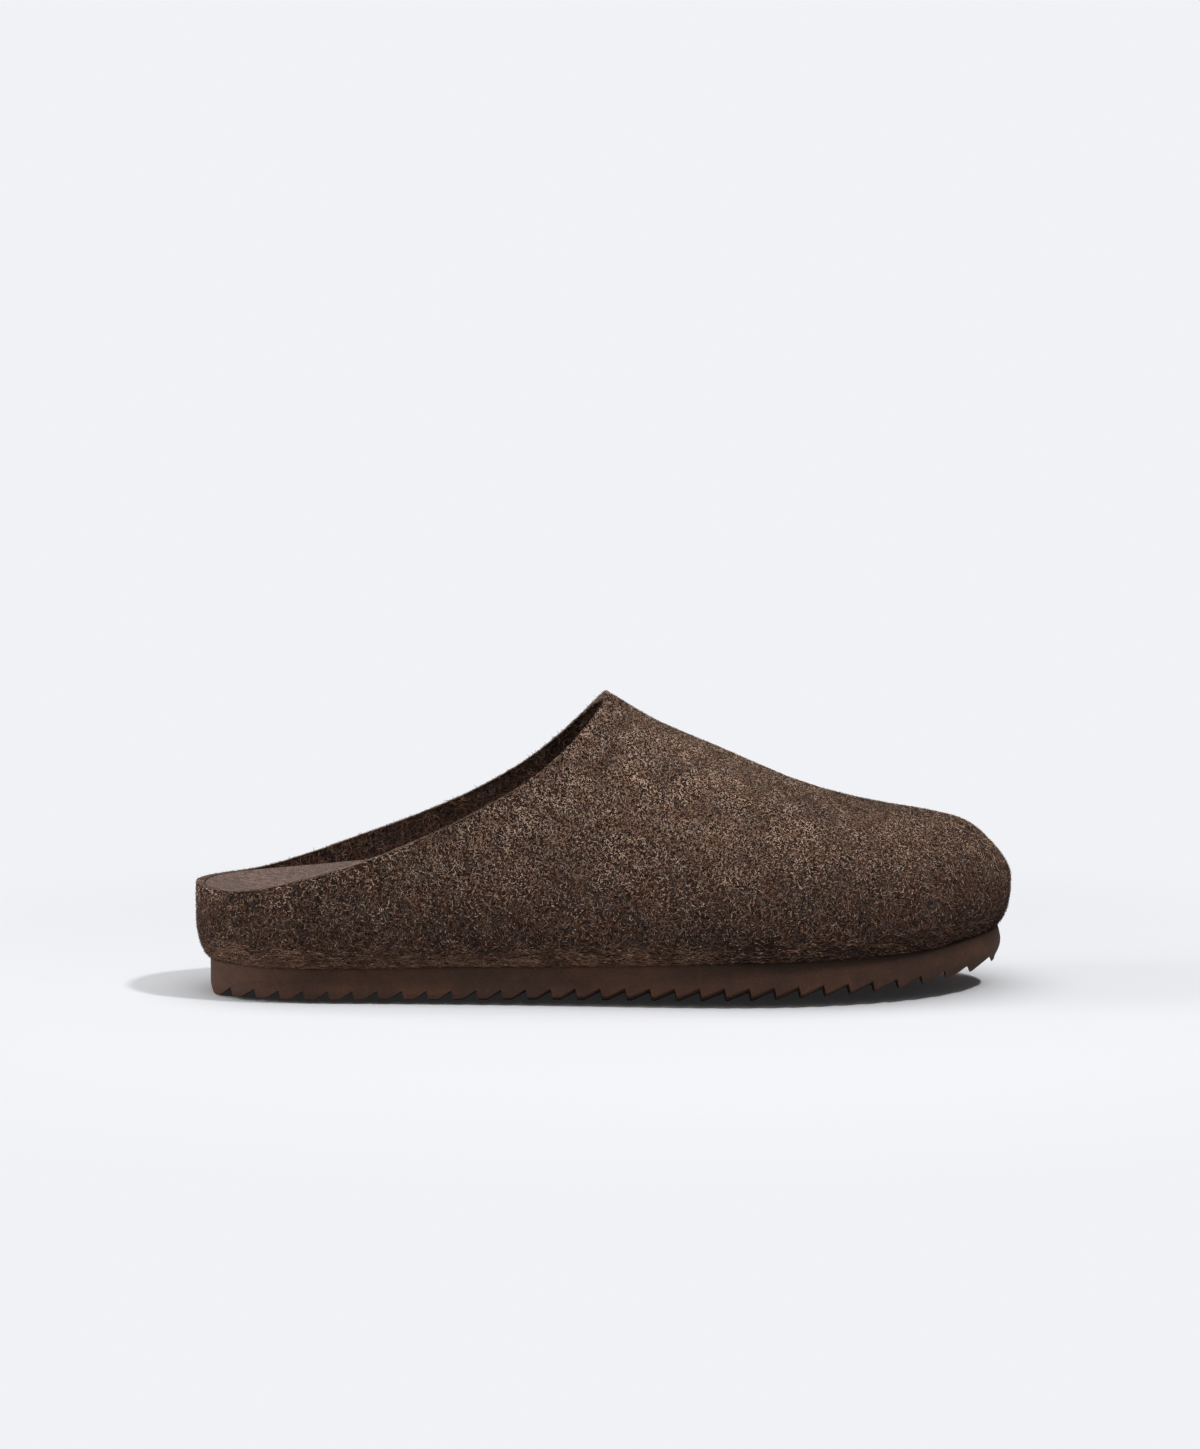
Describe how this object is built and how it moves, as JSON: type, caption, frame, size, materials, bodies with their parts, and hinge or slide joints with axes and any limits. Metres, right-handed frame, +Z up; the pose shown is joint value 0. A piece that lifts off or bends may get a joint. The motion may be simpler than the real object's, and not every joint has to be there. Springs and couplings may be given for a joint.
{
  "type": "clog slipper",
  "caption": "Backless felt clog slipper for the right foot, with a sloping collar, a contoured insole and a rubber outsole with saw-tooth tread.",
  "frame": {"origin": "on the floor, at the centre of the shoe's box seen from above", "axes": "+X to the toe, +Y to the inner (big toe) side, +Z up"},
  "size_m": [0.286, 0.1042, 0.1052],
  "materials": {
    "felt": "heathered wool felt, dark brown",
    "footbed": "short-napped, light brown",
    "rubber": "matt, dark brown"
  },
  "bodies": {
    "root": {"upper": "felt", "insole": "footbed", "outsole": "rubber"}
  },
  "joints": []
}
